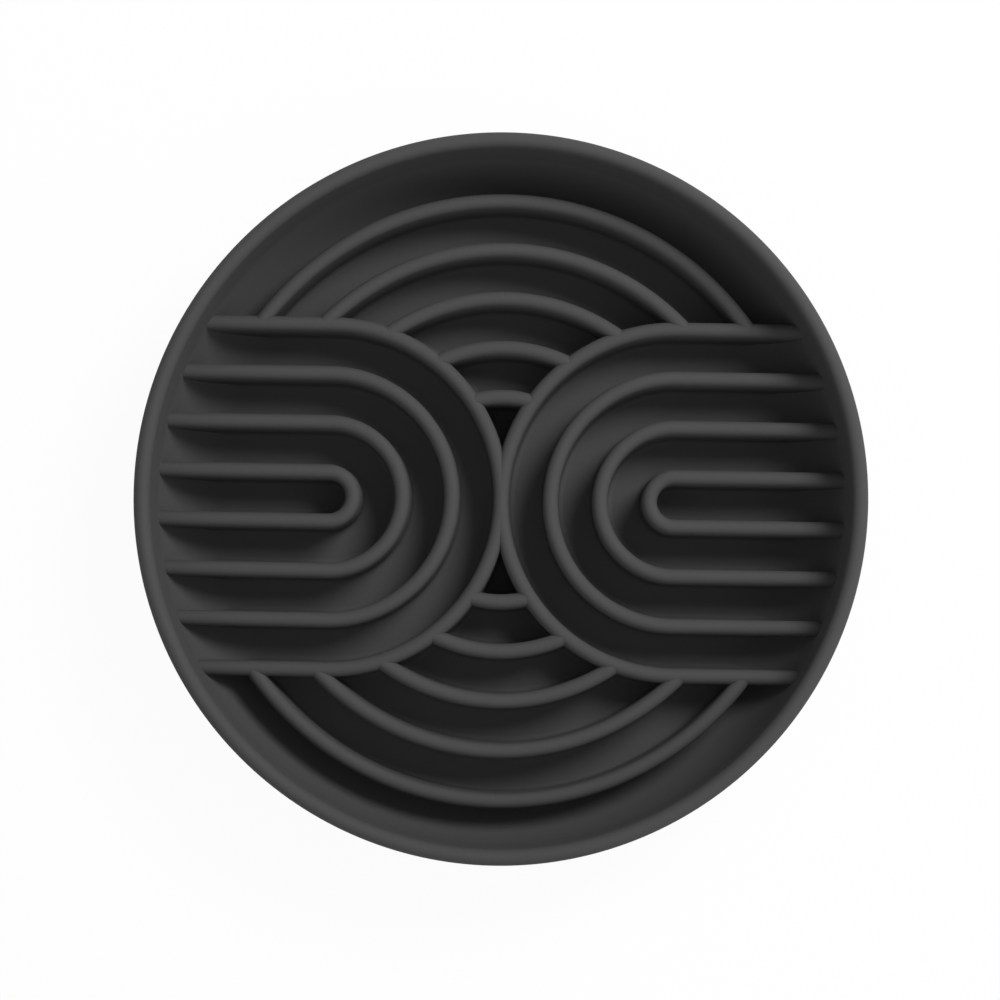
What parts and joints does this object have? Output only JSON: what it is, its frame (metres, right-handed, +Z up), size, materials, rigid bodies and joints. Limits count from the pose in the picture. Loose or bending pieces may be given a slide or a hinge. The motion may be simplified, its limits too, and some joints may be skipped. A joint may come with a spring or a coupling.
{
  "type": "slow feeder bowl",
  "caption": "Round charcoal pet bowl with a full-round rim, whose floor carries nested loop ridges and concentric arc ridges that slow eating, on push-in non-slip feet.",
  "frame": {"origin": "on the bowl's axis, on the surface that the feet stand on", "axes": "+Z up out of the bowl, X along the straight legs of the loops, Y through the arcs"},
  "size_m": [0.204, 0.204, 0.035],
  "materials": {
    "bowl_plastic": "matte, finely textured moulding",
    "foot_rubber": "matte, soft"
  },
  "bodies": {
    "root": {"bowl_shell": "bowl_plastic", "left_loop_1": "bowl_plastic", "left_loop_2": "bowl_plastic", "left_loop_3": "bowl_plastic", "left_loop_4": "bowl_plastic", "right_loop_1": "bowl_plastic", "right_loop_2": "bowl_plastic", "right_loop_3": "bowl_plastic", "right_loop_4": "bowl_plastic", "upper_arc_1": "bowl_plastic", "upper_arc_2": "bowl_plastic", "upper_arc_3": "bowl_plastic", "upper_arc_4": "bowl_plastic", "upper_arc_5": "bowl_plastic", "lower_arc_1": "bowl_plastic", "lower_arc_2": "bowl_plastic", "lower_arc_3": "bowl_plastic", "lower_arc_4": "bowl_plastic", "lower_arc_5": "bowl_plastic", "grip_foot_1": "foot_rubber", "grip_foot_2": "foot_rubber", "grip_foot_3": "foot_rubber", "grip_foot_4": "foot_rubber", "grip_foot_5": "foot_rubber", "grip_foot_6": "foot_rubber"}
  },
  "joints": []
}
